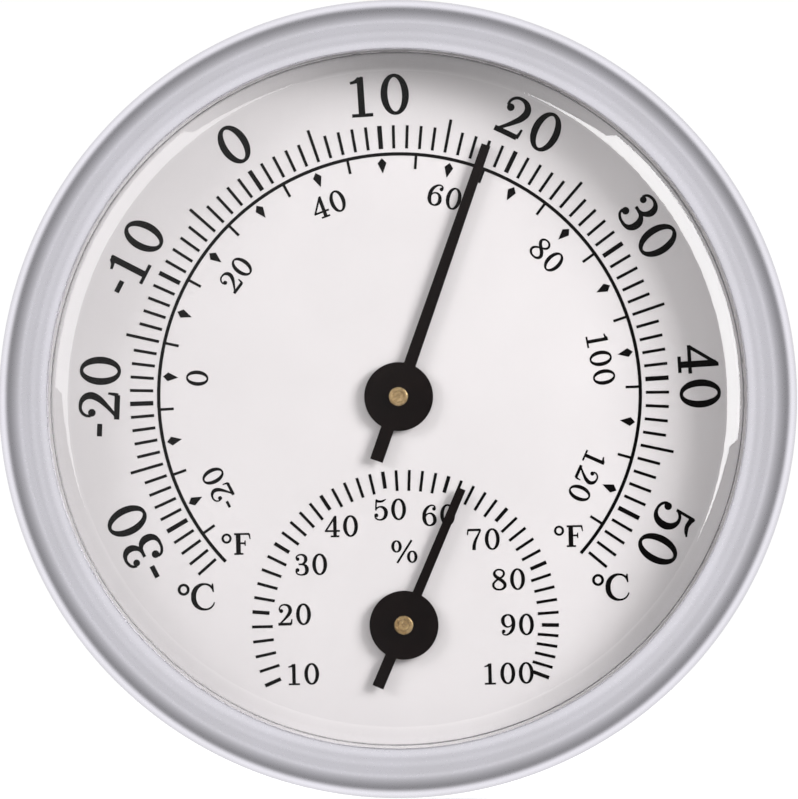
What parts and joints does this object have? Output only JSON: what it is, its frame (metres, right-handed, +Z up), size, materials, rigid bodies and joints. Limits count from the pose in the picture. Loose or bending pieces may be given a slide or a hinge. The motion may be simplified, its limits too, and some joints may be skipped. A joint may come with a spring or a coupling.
{
  "type": "dial hygrometer",
  "caption": "Round wall and desk dial hygrometer with a large temperature scale above a small humidity scale, a domed-edge lens, a spun bezel and a fold-out rear leg.",
  "frame": {"origin": "centre of the flat back of the rear cover, on the case's axis", "axes": "+X to the reader's right, +Y out of the back towards the wall, +Z up; the dial faces -Y"},
  "size_m": [0.13, 0.025, 0.13],
  "materials": {
    "bezel": "spun and satin anodised silver with a faint lavender cast",
    "lens": "clear polished acrylic",
    "gasket": "closed-cell foam rubber",
    "chassis_plastic": "moulded pale grey ABS",
    "dial": "satin silver-white lacquer printed in black",
    "cover_plastic": "moulded pale grey ABS with a fine texture",
    "steel": "zinc plated",
    "brass": "turned and bright",
    "bimetal": "rolled bimetal strip",
    "hygroscopic": "metal strip with a hygroscopic coating",
    "pointer": "semi-matt black paint"
  },
  "bodies": {
    "case": {"bezel": "bezel", "lens": "lens", "lens_gasket": "gasket", "chassis_ring": "chassis_plastic", "dial_plate": "dial", "rear_cover": "cover_plastic", "leg_hinge_pin": "steel", "cover_screw_1": "steel", "cover_screw_2": "steel", "cover_screw_3": "steel", "cover_screw_4": "steel", "temperature_dial_bush": "brass", "temperature_washer": "steel", "temperature_lock_nut": "brass", "temperature_bridge": "steel", "temperature_rear_bush": "brass", "humidity_dial_bush": "brass", "humidity_washer": "steel", "humidity_lock_nut": "brass", "humidity_bridge": "steel", "humidity_rear_bush": "brass"},
    "leg": {"desk_leg": "cover_plastic"},
    "temperature_adjust_lever": {"temperature_adjuster": "steel", "temperature_bimetal_coil": "bimetal"},
    "temperature_hand": {"temperature_arbor": "steel", "temperature_collet": "brass", "temperature_pointer": "pointer", "temperature_pointer_boss": "brass"},
    "humidity_adjust_lever": {"humidity_adjuster": "steel", "humidity_hygroscopic_coil": "hygroscopic"},
    "humidity_hand": {"humidity_arbor": "steel", "humidity_collet": "brass", "humidity_pointer": "pointer", "humidity_pointer_boss": "brass"}
  },
  "joints": [
    {"name": "desk_leg_fold", "type": "hinge", "parent": "case", "child": "leg", "pos_m": [0, -0.00225, -0.014], "axis": [1, 0, 0], "range_deg": [0, 38]},
    {"name": "temperature_adjust", "type": "hinge", "parent": "case", "child": "temperature_adjust_lever", "pos_m": [0, -0.0104, 0.00045], "axis": [0, 1, 0], "range_deg": [-12, 12]},
    {"name": "temperature_pointer_turn", "type": "hinge", "parent": "temperature_adjust_lever", "child": "temperature_hand", "pos_m": [0, -0.0148, 0.00045], "axis": [0, 1, 0], "range_deg": [-153, 112], "stiffness_Nm_per_rad": 0.0002, "deforming": ["temperature_bimetal_coil"]},
    {"name": "humidity_adjust", "type": "hinge", "parent": "case", "child": "humidity_adjust_lever", "pos_m": [0, -0.0104, -0.0369], "axis": [0, 1, 0], "range_deg": [-12, 12]},
    {"name": "humidity_pointer_turn", "type": "hinge", "parent": "humidity_adjust_lever", "child": "humidity_hand", "pos_m": [0, -0.0148, -0.0369], "axis": [0, 1, 0], "range_deg": [-137, 88], "stiffness_Nm_per_rad": 0.0001, "deforming": ["humidity_hygroscopic_coil"]}
  ]
}
